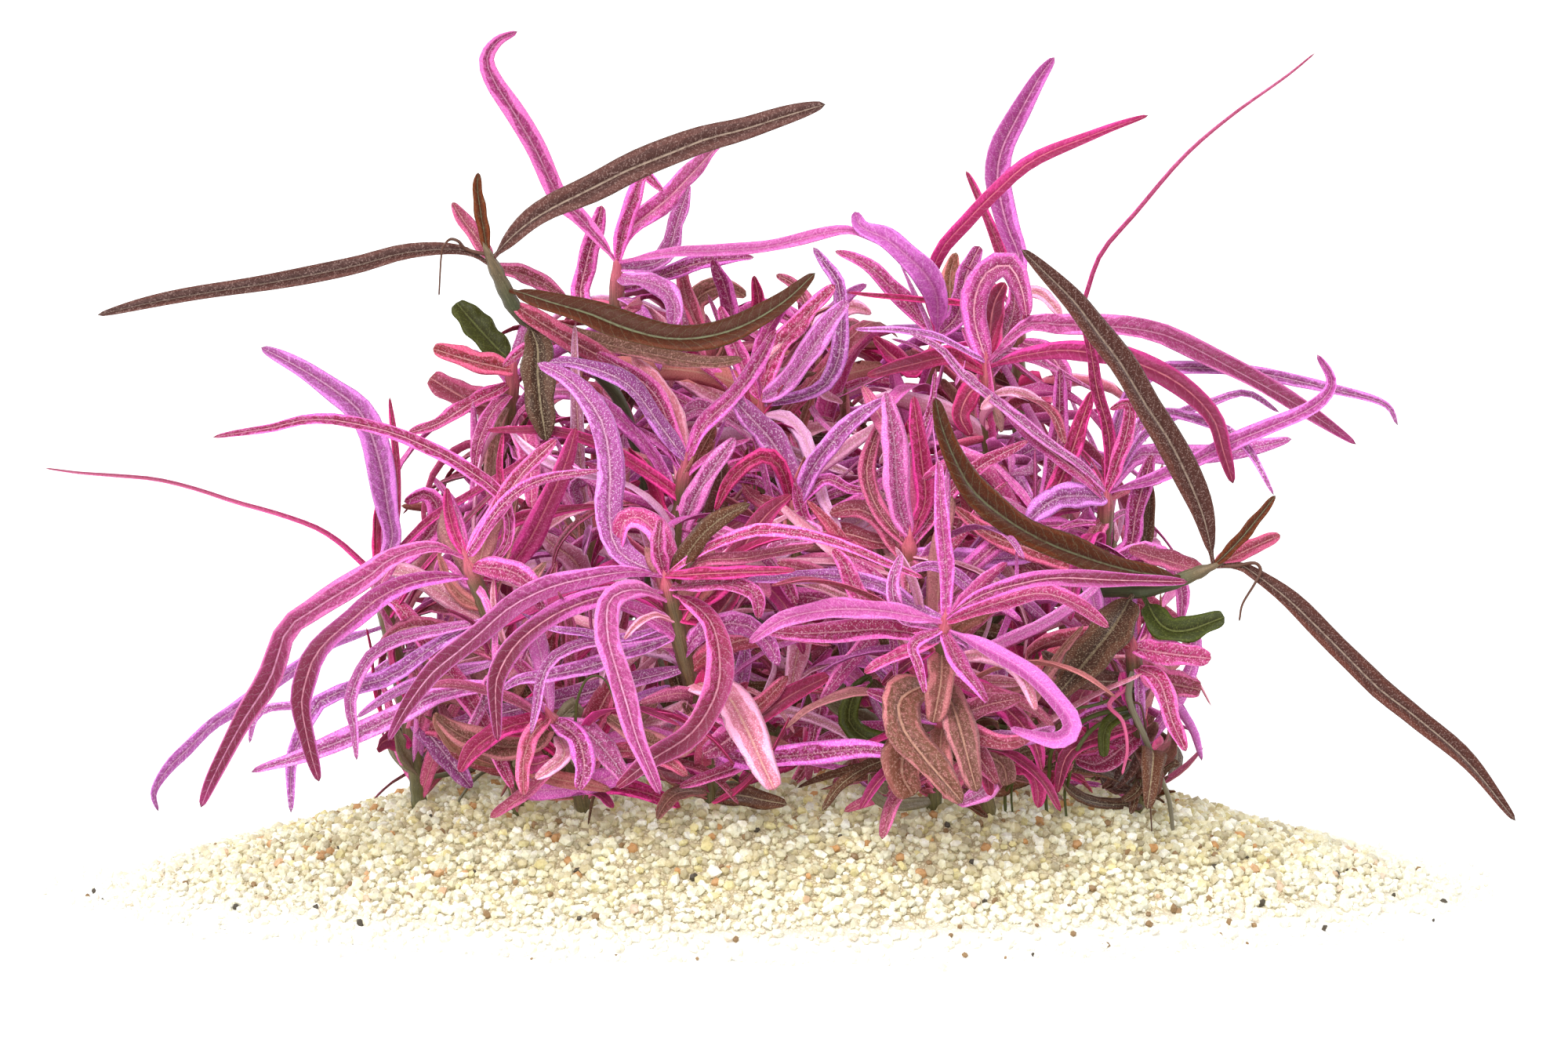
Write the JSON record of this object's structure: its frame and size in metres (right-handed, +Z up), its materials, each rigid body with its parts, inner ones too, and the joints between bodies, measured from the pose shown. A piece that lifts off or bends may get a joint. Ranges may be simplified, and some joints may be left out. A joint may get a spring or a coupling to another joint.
{
  "type": "aquarium plant",
  "caption": "Bushy clump of narrow-leaved, pink and purple submersed stem plant with two dark emersed-form sprigs, rooted in an oval heap of pale fine gravel.",
  "frame": {"origin": "middle of the gravel heap's flat underside", "axes": "+Z up, along the stems; +X to the right along the heap's long side, seen from the clump's front; -Y towards the viewer of the clump's front"},
  "size_m": [0.2745, 0.1306, 0.1642],
  "materials": {
    "gravel": "matte",
    "pink_shoot": "satin",
    "sprig_stem": "satin",
    "pink_leaf": "satin",
    "purple_leaf": "satin",
    "crimson_leaf": "satin",
    "dark_leaf": "satin",
    "bronze_leaf": "satin",
    "olive_leaf": "satin",
    "green_leaf": "satin"
  },
  "bodies": {
    "root": {"gravel_bed": "gravel", "leaf_front_hooked": "pink_leaf", "leaf_front_level": "pink_leaf", "leaf_front_right": "pink_leaf", "leaf_green_left": "green_leaf", "leaf_green_right": "green_leaf", "leaf_hooked_top": "pink_leaf", "leaf_left_drooping": "pink_leaf", "leaf_left_level": "pink_leaf", "leaf_left_rising": "purple_leaf", "leaf_left_sweeping": "pink_leaf", "leaf_left_trailing": "purple_leaf", "leaf_middle_curved": "pink_leaf", "leaf_middle_drooping": "pink_leaf", "leaf_middle_hanging": "pink_leaf", "leaf_middle_sweeping": "pink_leaf", "leaf_right_drooping": "crimson_leaf", "leaf_right_slender": "purple_leaf", "leaf_right_sweeping": "pink_leaf", "leaf_right_upturned": "pink_leaf", "leaf_sprig_left_arched": "bronze_leaf", "leaf_sprig_left_hanging": "olive_leaf", "leaf_sprig_left_long": "dark_leaf", "leaf_sprig_left_rising": "dark_leaf", "leaf_sprig_right_arched": "bronze_leaf", "leaf_sprig_right_hanging": "olive_leaf", "leaf_sprig_right_long": "dark_leaf", "leaf_sprig_right_rising": "dark_leaf", "leaf_top_arched": "crimson_leaf", "leaf_top_broad": "pink_leaf", "leaf_top_level": "pink_leaf", "leaf_top_tall": "pink_leaf", "leaf_whip_left": "crimson_leaf", "leaf_whip_right": "crimson_leaf", "shoot_back_left": "pink_shoot", "shoot_back_middle": "pink_shoot", "shoot_centre": "pink_shoot", "shoot_centre_left": "pink_shoot", "shoot_centre_right": "pink_shoot", "shoot_left_back": "pink_shoot", "shoot_left_low": "pink_shoot", "shoot_left_outer": "pink_shoot", "shoot_left_tall": "pink_shoot", "shoot_low_left": "pink_shoot", "shoot_low_middle": "pink_shoot", "shoot_middle_back": "pink_shoot", "shoot_middle_front": "pink_shoot", "shoot_middle_upper": "pink_shoot", "shoot_rear_left": "pink_shoot", "shoot_rear_middle": "pink_shoot", "shoot_rear_right": "pink_shoot", "shoot_right_back": "pink_shoot", "shoot_right_front": "pink_shoot", "shoot_right_low": "pink_shoot", "shoot_right_middle": "pink_shoot", "shoot_right_outer": "pink_shoot", "shoot_top_middle": "pink_shoot", "shoot_top_right": "pink_shoot", "sprig_left": "sprig_stem", "sprig_right": "sprig_stem"}
  },
  "joints": []
}
